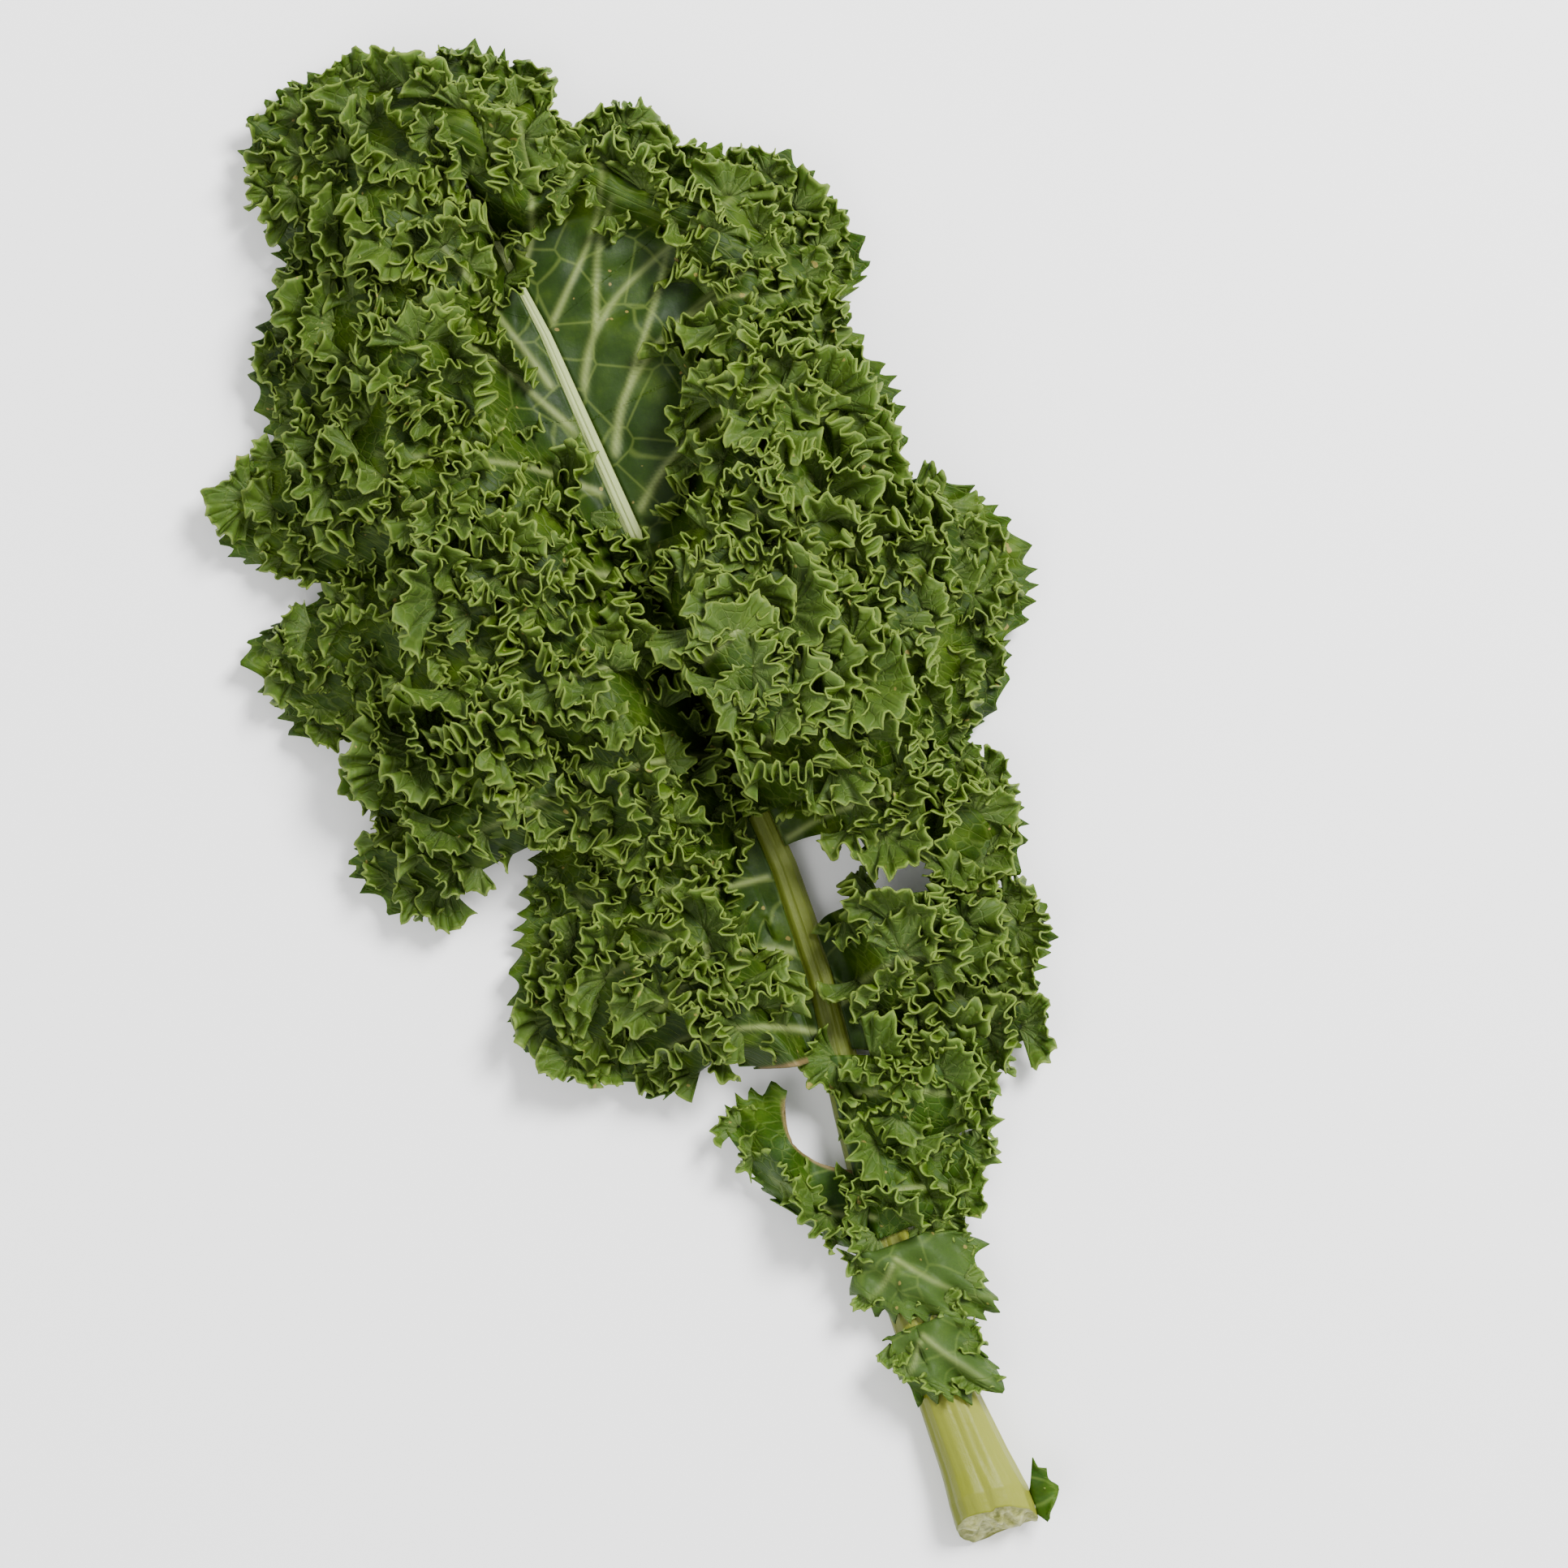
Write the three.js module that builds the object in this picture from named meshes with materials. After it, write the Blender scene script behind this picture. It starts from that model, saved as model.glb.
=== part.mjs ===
// One leaf of curly kale lying on its back: a stalk that runs on as the midrib, and the lobes
// of the ruffled blade standing along both sides of it. Millimetres, +Z up, the stalk end
// towards -Y and the leaf tip towards +Y.
import * as THREE from 'three';

// ---- driving dimensions (mm) ----
const LEAF_LENGTH = 316;      // torn stalk end to the top of the blade
const LEAF_WIDTH = 152;       // across the widest lobes
const STALK_WIDTH = 12.5;     // bare stalk just above its torn end
const FRILL_HEIGHT = 40;      // how high the folded margin stands over the outspread margin
const BLADE_THICKNESS = 1.3;  // modelled blade, thicker than the living sheet
const RUFFLE_PITCH = 15.5;    // outline length taken by one fold of the margin
const LOBE_GAP = 0.6;         // clear space left between neighbouring pieces

// ---- proportions ----
const NOMINAL_LENGTH = 316;   // the lobe outlines below are drawn for this length and width
const NOMINAL_WIDTH = 152;
const RIB_ROUNDNESS = 0.95;   // height of the stalk over its width, were it not flattened
const FLATTENED = 0.83;       // underside of the stalk cut flat at this part of its radius
const FLAT_LENGTH = 70;       // part of the stalk whose underside lies flat on the ground
const RIB_RISE = 9;           // how far the underside of the rib has lifted at its tip
const OUT_HEIGHT = 0.5;       // height of the margin where it is spread outwards
const FOLD_DEPTH = 12;        // how far a fold of the margin comes back in over the blade
const CROWN = 9;              // rise of the blade between the rib and its margin
const PUCKER = 5;             // blistering of the blade between its veins
const COLUMNS_PER_FOLD = 6;
const ROWS = 9;
const RIB_SIDES = 16;
const BLADE_GREEN = 0x4f7a2c;
const YOUNG_GREEN = 0x6b9438;
const RIB_GREEN = 0xb9bf7c;

const stretchX = LEAF_WIDTH / NOMINAL_WIDTH;
const stretchY = LEAF_LENGTH / NOMINAL_LENGTH;
const smooth = (t) => t * t * (3 - 2 * t);
const mix = (a, b, t) => a + (b - a) * t;
const clamp01 = (t) => Math.min(1, Math.max(0, t));

// Repeatable irregularity between 0 and 1.
function vary(seed) {
  const s = Math.sin(seed * 12.9898 + 4.1) * 43758.5453;
  return s - Math.floor(s);
}

// ---- midrib ----
// Course of the midrib and its width there, from the torn end to the tip.
const RIB_COURSE = [
  { x: 1, y: -4, width: 1.22 },
  { x: 1, y: 3, width: 1.2 },
  { x: 1, y: 12, width: 1.0 },
  { x: 1, y: 30, width: 0.88 },
  { x: 0.8, y: 58, width: 0.72 },
  { x: 3, y: 85, width: 0.6 },
  { x: 6, y: 112, width: 0.52 },
  { x: 6.5, y: 135, width: 0.46 },
  { x: 4.5, y: 165, width: 0.4 },
  { x: 2, y: 200, width: 0.34 },
  { x: 0, y: 228, width: 0.28 },
  { x: -1.5, y: 250, width: 0.22 },
  { x: -4, y: 268, width: 0.16 },
  { x: -6, y: 282, width: 0.11 },
];
const ribPath = new THREE.CatmullRomCurve3(
  RIB_COURSE.map((p) => new THREE.Vector3(p.x * stretchX, p.y * stretchY, p.width * STALK_WIDTH)),
);
const ribSamples = ribPath.getPoints(240);

// Centre and half width of the rib at a distance y along the leaf.
function ribAt(y) {
  let i = 1;
  while (i < ribSamples.length - 1 && ribSamples[i].y < y) i += 1;
  const a = ribSamples[i - 1];
  const b = ribSamples[i];
  const t = clamp01((y - a.y) / (b.y - a.y));
  const half = mix(a.z, b.z, t) / 2;
  const lift = RIB_RISE * smooth(clamp01((y - FLAT_LENGTH) / (LEAF_LENGTH - FLAT_LENGTH)));
  return { x: mix(a.x, b.x, t), y, half, floor: lift, centre: lift + half * RIB_ROUNDNESS };
}

function mesh(name, positions, faces, color, roughness) {
  const geometry = new THREE.BufferGeometry();
  geometry.setAttribute('position', new THREE.Float32BufferAttribute(positions, 3));
  geometry.setIndex(faces);
  geometry.computeVertexNormals();
  const material = new THREE.MeshStandardMaterial({ color, roughness, metalness: 0 });
  const body = new THREE.Mesh(geometry, material);
  body.name = name;
  return body;
}

// The stalk: a loft of flattened rings, with a shallow channel on top and a torn end that
// slopes back from its lower edge.
function stalk() {
  const positions = [];
  const faces = [];
  const stations = [-3.6, -1, 3, 8, 16, 26, 38, 50, 62, 75, 90, 105, 120, 135, 150, 165, 180,
    195, 210, 225, 240, 255, 268, 280];
  stations.forEach((s, k) => {
    const at = ribAt(s * stretchY);
    for (let i = 0; i < RIB_SIDES; i += 1) {
      const a = (2 * Math.PI * (i + 0.5)) / RIB_SIDES;
      const channel = Math.max(0, Math.sin(a)) ** 6 * 0.16;
      const lump = k < 2 ? 1 + 0.07 * (vary(i + 17 * k) - 0.5) : 1;
      const r = at.half * lump;
      const up = Math.sin(a) - channel;
      const height = (Math.max(up, -FLATTENED) + FLATTENED) * at.half;
      const slope = k === 0 ? 3.4 * (up + 0.6) - 1.6 * Math.cos(a) : 0;
      const slopeNext = k === 1 ? 2.2 * (up + 0.6) - 0.9 * Math.cos(a) : 0;
      positions.push(at.x + Math.cos(a) * r, at.y + Math.max(0, slope) * 0.8 + Math.max(0, slopeNext),
        at.floor + height * RIB_ROUNDNESS);
    }
  });
  for (let k = 0; k < stations.length - 1; k += 1) {
    for (let i = 0; i < RIB_SIDES; i += 1) {
      const j = (i + 1) % RIB_SIDES;
      const a = k * RIB_SIDES + i;
      const b = k * RIB_SIDES + j;
      const c = a + RIB_SIDES;
      const d = b + RIB_SIDES;
      faces.push(a, d, b, a, c, d);
    }
  }
  [0, stations.length - 1].forEach((k, end) => {
    const centre = new THREE.Vector3();
    for (let i = 0; i < RIB_SIDES; i += 1) {
      const q = 3 * (k * RIB_SIDES + i);
      centre.add(new THREE.Vector3(positions[q], positions[q + 1], positions[q + 2]));
    }
    centre.divideScalar(RIB_SIDES);
    const hub = positions.length / 3;
    positions.push(centre.x, centre.y + (end ? 0.8 : -0.9), centre.z);
    for (let i = 0; i < RIB_SIDES; i += 1) {
      const a = k * RIB_SIDES + i;
      const b = k * RIB_SIDES + ((i + 1) % RIB_SIDES);
      if (end) faces.push(hub, b, a);
      else faces.push(hub, a, b);
    }
  });
  return mesh('stalk', positions, faces, RIB_GREEN, 0.5);
}

// ---- blade ----
// Closed shell round a grid of points, half the thickness to each side, thinner at the rim.
function shell(name, grid, color) {
  const columns = grid.length;
  const rows = grid[0].length;
  const positions = [];
  const faces = [];
  const along = new THREE.Vector3();
  const across = new THREE.Vector3();
  [1, -1].forEach((side) => {
    for (let i = 0; i < columns; i += 1) {
      for (let j = 0; j < rows; j += 1) {
        along.subVectors(grid[Math.min(i + 1, columns - 1)][j], grid[Math.max(i - 1, 0)][j]);
        across.subVectors(grid[i][Math.min(j + 1, rows - 1)], grid[i][Math.max(j - 1, 0)]);
        const normal = along.clone().cross(across).normalize();
        const half = (BLADE_THICKNESS / 2) * mix(1, 0.7, j / (rows - 1));
        const p = grid[i][j].clone().addScaledVector(normal, side * half);
        positions.push(p.x, p.y, p.z);
      }
    }
  });
  const under = columns * rows;
  const at = (i, j) => i * rows + j;
  for (let i = 0; i < columns - 1; i += 1) {
    for (let j = 0; j < rows - 1; j += 1) {
      const a = at(i, j);
      const b = at(i + 1, j);
      const c = at(i + 1, j + 1);
      const d = at(i, j + 1);
      faces.push(a, b, c, a, c, d, under + a, under + c, under + b, under + a, under + d, under + c);
    }
  }
  const wall = (a, b) => faces.push(b, a, under + a, b, under + a, under + b);
  for (let i = 0; i < columns - 1; i += 1) {
    wall(at(i, 0), at(i + 1, 0));
    wall(at(i + 1, rows - 1), at(i, rows - 1));
  }
  for (let j = 0; j < rows - 1; j += 1) {
    wall(at(0, j + 1), at(0, j));
    wall(at(columns - 1, j), at(columns - 1, j + 1));
  }
  return mesh(name, positions, faces, color, 0.62);
}

const bend = (a, m, b, t) => (1 - t) * (1 - t) * a + 2 * t * (1 - t) * m + t * t * b;

// One lobe. It fans out from its foot on the rib to its outline; its margin folds in and
// out, standing high where it folds in over the blade and lying low where it spreads out.
function lobe(spec) {
  const { name, foot, outline, bends, height, color, seed, base, crown, calm = 1 } = spec;
  const edge = new THREE.SplineCurve(
    outline.map(([x, y]) => new THREE.Vector2(x * stretchX, y * stretchY)),
  );
  const folds = Math.max(spec.folds || 1, Math.round(edge.getLength() / RUFFLE_PITCH));
  const columns = folds * COLUMNS_PER_FOLD;
  const waist = [0, 1].map((u, k) => {
    const root = foot(u);
    const rim = edge.getPointAt(u);
    return bends && bends[k]
      ? new THREE.Vector2(bends[k][0] * stretchX, bends[k][1] * stretchY)
      : new THREE.Vector2((root.x + rim.x) / 2, (root.y + rim.y) / 2);
  });
  const plan = (u, v) => {
    const rim = edge.getPointAt(clamp01(u));
    const root = foot(u);
    return new THREE.Vector2(
      bend(root.x, mix(waist[0].x, waist[1].x, u), rim.x, v),
      bend(root.y, mix(waist[0].y, waist[1].y, u), rim.y, v),
    );
  };
  const grid = [];
  for (let i = 0; i <= columns; i += 1) {
    const fold = Math.min(folds - 1, Math.floor(i / COLUMNS_PER_FOLD));
    const phase = (1 - Math.cos((2 * Math.PI * i) / COLUMNS_PER_FOLD)) / 2;
    const deep = calm * FOLD_DEPTH * mix(0.5, 1.1, vary(seed + fold));
    const high = height * FRILL_HEIGHT * mix(0.6, 1, vary(seed * 3 + fold));
    const low = mix(0, 4.5, vary(seed * 5 + Math.floor((i + COLUMNS_PER_FOLD / 2) / COLUMNS_PER_FOLD)));
    const column = [];
    for (let j = 0; j < ROWS; j += 1) {
      const v = j / (ROWS - 1);
      const width = plan(1, v).distanceTo(plan(0, v));
      const reach = plan(i / columns, 1).distanceTo(plan(i / columns, 0));
      const inset = Math.min(0.3, (0.5 + v) * (LOBE_GAP + BLADE_THICKNESS / 2) / 2 / width);
      const u = mix(inset, 1 - inset, i / columns);
      const p = plan(u, v - Math.min(0.55, deep / reach) * phase * v ** 4);
      const root = foot(u);
      const wave = (Math.PI * i) / (1.5 * COLUMNS_PER_FOLD) + 2 * Math.PI * (reach / 26) * v;
      const blister = Math.cos(wave + seed);
      const pucker = PUCKER * blister * Math.sin(Math.PI * v) * Math.sin((Math.PI * i) / columns);
      const z = mix(root.z, (base ?? OUT_HEIGHT) + low, smooth(v)) + high * phase * v ** 3
        + (crown ?? CROWN) * Math.sin(Math.PI * v) + pucker * calm;
      column.push(new THREE.Vector3(p.x, p.y, z));
    }
    grid.push(column);
  }
  return shell(name, grid, color ?? BLADE_GREEN);
}

// Foot of a lobe along one side of the rib, from y0 to y1.
function footOnRib(side, y0, y1) {
  return (u) => {
    const at = ribAt(mix(y0, y1, u) * stretchY);
    const x = at.x + side * (at.half + LOBE_GAP + BLADE_THICKNESS * 0.5);
    return { x, y: at.y, z: at.centre + at.half * 0.35 + BLADE_THICKNESS };
  };
}

const LEFT = -1;
const RIGHT = 1;
// Outlines run away from the stalk end on the left side and back towards it on the right.
const LOBES = [
  { name: 'left_torn_lobe', side: LEFT, y: [59, 70], bends: [[-7, 57], [-13, 71]], height: 0.45,
    calm: 0.5,
    outline: [[-12.5, 58], [-19, 66], [-25, 78], [-22.5, 91], [-14, 94]] },
  { name: 'left_broad_lobe', side: LEFT, y: [97, 142], height: 0.6, crown: 5,
    outline: [[-12, 100], [-22, 104], [-33, 98], [-41, 108], [-51, 108], [-56, 122], [-50, 135],
      [-43, 148], [-37, 152]] },
  { name: 'left_lower_lobe', side: LEFT, y: [142, 163], height: 0.85,
    outline: [[-37, 152], [-50, 160], [-59, 153], [-66, 148], [-77, 163], [-69, 170]] },
  { name: 'left_small_lobe', side: LEFT, y: [163, 182], height: 0.95,
    outline: [[-69, 170], [-67, 179], [-70, 183], [-66, 188]] },
  { name: 'left_middle_lobe', side: LEFT, y: [182, 207], height: 1,
    outline: [[-66, 188], [-76, 190], [-79, 200], [-79, 211], [-70, 215], [-60, 218]] },
  { name: 'left_upper_lobe', side: LEFT, y: [207, 232], height: 1,
    outline: [[-60, 218], [-69, 222.5], [-77, 230], [-72, 245], [-61, 248]] },
  { name: 'left_shoulder_lobe', side: LEFT, y: [232, 254], height: 0.95,
    outline: [[-61, 248], [-60, 262], [-54, 272], [-47, 280]] },
  { name: 'left_top_lobe', side: LEFT, y: [254, 280], height: 0.9,
    outline: [[-47, 280], [-46, 291], [-45, 304], [-34, 312], [-20, 311], [-9, 307]] },
  { name: 'tip_lobe', side: RIGHT, y: [281, 266], height: 0.85,
    outline: [[-8, 307], [3, 309], [13, 301], [15, 291], [13, 283]] },
  { name: 'right_top_lobe', side: RIGHT, y: [266, 251], height: 0.6, crown: 3,
    outline: [[13, 283], [20, 284], [26, 288], [31, 279], [38, 276], [44, 269]] },
  { name: 'right_shoulder_lobe', side: RIGHT, y: [251, 231], height: 0.7, crown: 3,
    outline: [[44, 269], [54, 267], [57, 258], [63, 251], [64, 241], [56, 236]] },
  { name: 'right_upper_lobe', side: RIGHT, y: [231, 204], height: 0.85, crown: 2,
    outline: [[56, 236], [57, 226], [60, 218], [58, 207], [54, 199]] },
  { name: 'right_middle_lobe', side: RIGHT, y: [204, 177], height: 1,
    outline: [[54, 199], [65, 195], [73, 181], [71, 168], [64, 162]] },
  { name: 'right_small_lobe', side: RIGHT, y: [177, 147], height: 0.95,
    outline: [[64, 162], [59, 152], [50, 147]] },
  { name: 'right_lower_lobe', side: RIGHT, y: [147, 136], bends: [[30, 147], [25, 134]], height: 0.8,
    outline: [[50, 147], [53, 140], [56, 132], [54, 121], [47, 117]] },
  { name: 'right_broad_lobe', side: RIGHT, y: [118, 97], bends: [[25, 125], [20, 91]], height: 0.6,
    outline: [[47, 116], [50, 110], [53, 104], [47, 97], [47, 87], [42, 83], [35, 85]] },
  { name: 'right_yellow_lobe', side: RIGHT, y: [97, 77], height: 0.5, color: YOUNG_GREEN,
    outline: [[35, 85], [32, 78], [29, 72], [21, 74]] },
  { name: 'right_first_lobe', side: RIGHT, y: [77, 60], calm: 0.5, height: 0.4, color: YOUNG_GREEN,
    outline: [[21, 74], [26, 68], [21, 65], [21, 58], [13, 57], [7, 59]] },
];

// Two leaflets low on the stalk, folded across its upper face.
const LEAFLETS = [
  { name: 'upper_leaflet', at: 58, folds: 4,
    outline: [[-5, 57], [-9, 50], [-4, 45], [1, 42.5], [8, 40], [18, 40], [18, 50], [10, 56]] },
  { name: 'lower_leaflet', at: 41, folds: 3,
    outline: [[-5, 39], [-9, 31], [-2, 28], [4, 26], [12, 25], [10, 32], [8, 38]] },
];

function leaflet(spec, k) {
  const y = spec.at * stretchY;
  const rib = ribAt(y);
  const top = rib.floor + 2 * rib.half * RIB_ROUNDNESS;
  return lobe({
    ...spec,
    foot: (u) => ({ x: rib.x + mix(-0.5, 0.5, u) * rib.half, y: y - 0.6, z: top + 1 }),
    height: 0.12,
    seed: 40 + k,
    base: top + 0.6,
    crown: 1.2,
    calm: 0.3,
    color: YOUNG_GREEN,
  });
}

// The small hooked ear beside the torn end of the stalk.
function ear() {
  const rib = ribAt(0);
  const start = rib.x + rib.half + LOBE_GAP + BLADE_THICKNESS;
  const out = (reach) => (start + reach) / stretchX;
  return lobe({
    name: 'basal_ear',
    outline: [[out(2), 4.5], [out(4), 1], [out(3.7), -2.6], [out(0.5), -4.4]],
    foot: (u) => ({ x: start, y: mix(2.4, -2.2, u) * stretchY, z: 5 }),
    folds: 1,
    height: 0.1,
    seed: 60,
    base: 5.5,
    crown: 1,
    calm: 0.3,
    color: BLADE_GREEN,
  });
}

const leaf = new THREE.Group();
leaf.name = 'curly_kale_leaf';
leaf.add(stalk());
LOBES.forEach((spec, k) => {
  leaf.add(lobe({ ...spec, foot: footOnRib(spec.side, spec.y[0], spec.y[1]), seed: k + 1 }));
});
LEAFLETS.forEach((spec, k) => leaf.add(leaflet(spec, k)));
leaf.add(ear());

// Stand the leaf on the ground with the middle of its footprint over the origin.
const box = new THREE.Box3().setFromObject(leaf);
const middle = box.getCenter(new THREE.Vector3());
leaf.children.forEach((body) => body.geometry.translate(-middle.x, -middle.y, -box.min.z));

export default leaf;
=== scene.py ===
"""Looks of the curly kale leaf: each lobe is a puckered blade crowded with ruffled fans, the
folds of its margin, which stand up from it and overlap."""
import math

import bpy
import numpy as np
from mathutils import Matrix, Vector


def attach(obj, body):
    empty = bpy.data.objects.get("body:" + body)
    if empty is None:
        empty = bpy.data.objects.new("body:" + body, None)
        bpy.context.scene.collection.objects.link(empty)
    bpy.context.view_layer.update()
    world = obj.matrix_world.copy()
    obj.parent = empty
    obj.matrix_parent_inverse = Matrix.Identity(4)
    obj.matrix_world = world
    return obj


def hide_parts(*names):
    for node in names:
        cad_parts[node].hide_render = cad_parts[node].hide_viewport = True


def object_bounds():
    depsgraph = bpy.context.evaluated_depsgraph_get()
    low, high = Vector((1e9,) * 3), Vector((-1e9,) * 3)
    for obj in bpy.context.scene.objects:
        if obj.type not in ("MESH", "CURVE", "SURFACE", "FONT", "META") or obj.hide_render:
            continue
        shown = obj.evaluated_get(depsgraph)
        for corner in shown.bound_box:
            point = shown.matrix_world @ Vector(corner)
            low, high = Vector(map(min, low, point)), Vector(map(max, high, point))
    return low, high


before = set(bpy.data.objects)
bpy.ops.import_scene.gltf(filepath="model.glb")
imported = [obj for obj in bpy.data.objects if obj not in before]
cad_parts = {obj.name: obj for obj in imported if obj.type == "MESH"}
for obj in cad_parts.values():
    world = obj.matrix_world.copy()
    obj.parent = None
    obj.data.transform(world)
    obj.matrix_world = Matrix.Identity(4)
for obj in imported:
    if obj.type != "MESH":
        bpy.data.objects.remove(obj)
CAD_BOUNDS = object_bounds()

# ---- leaf drawing: millimetres on the leaf, +Y from the stalk end to the tip ----
DRAWN_CENTRE = (-2.68, 153.97)     # drawing point under the middle of the leaf's box
DRAWN_SIZE = (152.2, 316.4)        # extent of the drawing
LEFT = -1
RIGHT = 1

# ---- blade ----
BLADE_THICKNESS = 0.42
BLADE_PITCH = 0.75   # spacing of points over the blade
EDGE_HEIGHT = 6.0                  # height of the blade along its outline
LOWEST = 0.4                       # the blade stays this far above the ground
SEAM_OVERLAP = 0.012               # share of a lobe's width by which its blade laps its neighbours'
NOTCH_LENGTH = 4.3                 # teeth of the blade's own outline
NOTCH_SIZE = 3.0
NOTCH_SHARE = 0.08                 # the teeth are at most this share of a short outline
EDGE_RIPPLE = 1.3                  # height of the ripples along the outline
RIPPLE_RATE = 1.5                  # along the outline for each radian of a ripple
BLISTER_HEIGHT = 1.1
BLISTER_LENGTH = 5
HUMP_LENGTH = 14                   # the broad humps of the frills
FOOT_REACH = 0.8                   # a lobe's foot across the rib, in half widths of the rib
OVER_RIB_REACH = -0.7
LOBE_SEED = 7
VEIN_HEIGHT = 0.25

# ---- fans: the ruffled folds of the margin ----
FAN_SPACING = 4.3                  # between the feet of neighbouring fans
FAN_TRIES = 9000
OUTERMOST = 0.93                   # share out along a lobe of its outermost fans
FAN_RADIUS = (4.8, 8.6)
FAN_SPREAD = (72, 100)             # degrees to each side
FAN_TILT = (2, 24)                 # degrees above level, and more away from the outline
INNER_TILT = (14, 50)
FAN_ROLL = 16
FAN_COLUMNS = 70
FAN_ROWS = 8
FAN_RISE = 6.5                     # room left above the blade for the fans
HIGHEST = 39.0                     # above this the fans lie back
WAVE_LENGTH = 4.8                  # one wave of a fan, measured along its rim
WAVE_SIZE = 2.3
CRINKLE_LENGTH = 2.7
CRINKLE_SIZE = 0.65
TOOTH_LENGTH = 2.9                 # pointed teeth of the rim
TOOTH_SIZE = 1.0
FAN_VEIN_ANGLE = 0.42              # radians between the veins of a fan

# Shares of the sizes above for the fans of grown lobes, young lobes, leaflets and the ear.
GROWN_STYLE = {"fan": 1.0, "tilt": 1.0, "wave": 1.0, "tooth": 1.0}
YOUNG_STYLE = {"fan": 0.85, "tilt": 0.7, "wave": 0.8, "tooth": 1.3}
LEAFLET_STYLE = {"fan": 0.62, "tilt": 0.45, "wave": 0.4, "tooth": 1.0}
EAR_STYLE = {"fan": 0.3, "tilt": 1.2, "wave": 0.25, "tooth": 0.4}

# Height of the frills above the ground against the distance along the leaf.
FRILL_TOP = [(55, 15), (80, 18), (110, 22), (140, 27), (165, 35), (200, 37), (240, 34), (280, 31),
             (312, 26)]

# Midrib course: x, y and half width.
RIB = [
    (2.1, -4, 7.9), (2.2, 3, 7.9), (1.9, 12, 6.9), (1.2, 30, 5.6), (0.8, 58, 4.5), (3, 85, 3.8),
    (6, 112, 3.2), (6.5, 135, 2.9), (4.5, 165, 2.5), (2, 200, 2.1), (0, 228, 1.8),
    (-1.5, 250, 1.4), (-4, 268, 1.0), (-6, 282, 0.7),
]
RIB_RISE = 9.0                     # height of the rib's underside at the tip
RIB_RISES_FROM = 70
RIB_HEIGHT = 1.62                  # height of the rib, in half widths

# ---- stalk ----
STALK_FOOT = -3.9
STALK_TIP = 281
STALK_RINGS = 520
STALK_COLUMNS = 72
STALK_FLAT = 0.83                  # depth of the flattened underside, in half widths
TORN_SLANT = 15                    # the tear slants over this length
TORN_RINGS = 14
STALK_LUMPS = 3.5                  # size of the lumps of the stalk's skin near its foot
TORN_LUMPS = 1.6                   # and of those inside the tear
STALK_SEED = 11

# Lobes: name, side of the rib, foot on the rib, where the frills start, outline, waist.
LOBES = [
    ("left_torn_lobe", LEFT, (59, 74), 0.3,
     [(-9, 61.5), (-16.5, 72), (-20.5, 81), (-21, 91), (-17, 95.5), (-7, 94.5)],
     ((-6, 60), (-16, 81))),
    ("left_broad_lobe", LEFT, (97, 142), 0.2,
     [(-12, 99.5), (-21, 104.5), (-32, 100.5), (-40, 110), (-49, 111), (-54, 123), (-50, 135),
      (-43, 148), (-38, 155)], None),
    ("left_lower_lobe", LEFT, (142, 163), 0.02,
     [(-38, 155), (-47, 168), (-57, 165), (-67, 152), (-74, 164), (-66, 170)],
     ((-17, 147), (-33, 168))),
    ("left_small_lobe", LEFT, (163, 182), 0.02,
     [(-66, 170), (-64, 179), (-67, 183), (-63, 188)], None),
    ("left_middle_lobe", LEFT, (182, 207), 0.04,
     [(-63, 188), (-74, 191), (-77, 200), (-79, 212), (-68, 215), (-58, 218)], None),
    ("left_upper_lobe", LEFT, (207, 232), 0.08,
     [(-58, 218), (-66, 223), (-75.5, 232), (-71, 244), (-60, 248)], None),
    ("left_shoulder_lobe", LEFT, (232, 254), 0.16,
     [(-60, 248), (-59, 262), (-53, 272), (-46, 280)], None),
    ("left_top_lobe", LEFT, (254, 280), 0.0,
     [(-46, 280), (-46, 291), (-45, 305), (-35, 313.5), (-21, 313), (-9, 308)], None),
    ("tip_lobe", RIGHT, (281, 266), 0.0,
     [(-9, 308), (3, 310), (12, 301), (13, 291), (11, 281)], None),
    ("right_top_lobe", RIGHT, (266, 251), 0.5,
     [(11, 281), (21, 284), (29, 288), (34, 278), (43, 274), (48, 269)], None),
    ("right_shoulder_lobe", RIGHT, (251, 231), 0.5,
     [(48, 269), (56, 267.5), (59.5, 259), (62.5, 251), (63, 241), (56, 236)], None),
    ("right_upper_lobe", RIGHT, (231, 204), 0.26,
     [(56, 236), (57, 226), (60, 218), (58, 207), (54, 199)], None),
    ("right_middle_lobe", RIGHT, (204, 177), -0.12,
     [(54, 199), (65, 195), (73, 181), (71, 168), (64, 162)], None),
    ("right_small_lobe", RIGHT, (177, 147), -0.04,
     [(64, 162), (59, 152), (50, 147)], None),
    ("right_lower_lobe", RIGHT, (147, 139), 0.12,
     [(50, 147), (53, 140), (55, 132), (52, 121), (47, 117)], ((30, 147), (27, 141))),
    ("right_broad_lobe", RIGHT, (121, 97), 0.2,
     [(47, 116), (52, 111), (52, 104), (46, 97), (45, 90), (40, 86), (34, 86)],
     ((13.5, 127.5), (20, 91))),
    ("right_yellow_lobe", RIGHT, (97, 77), 0.0,
     [(34, 86), (31, 79), (28, 73), (21, 75)], None),
    ("right_first_lobe", RIGHT, (77, 60), 0.05,
     [(21, 75), (24, 69), (20, 65), (20, 59), (13, 58), (7, 60)], None),
]

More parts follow.
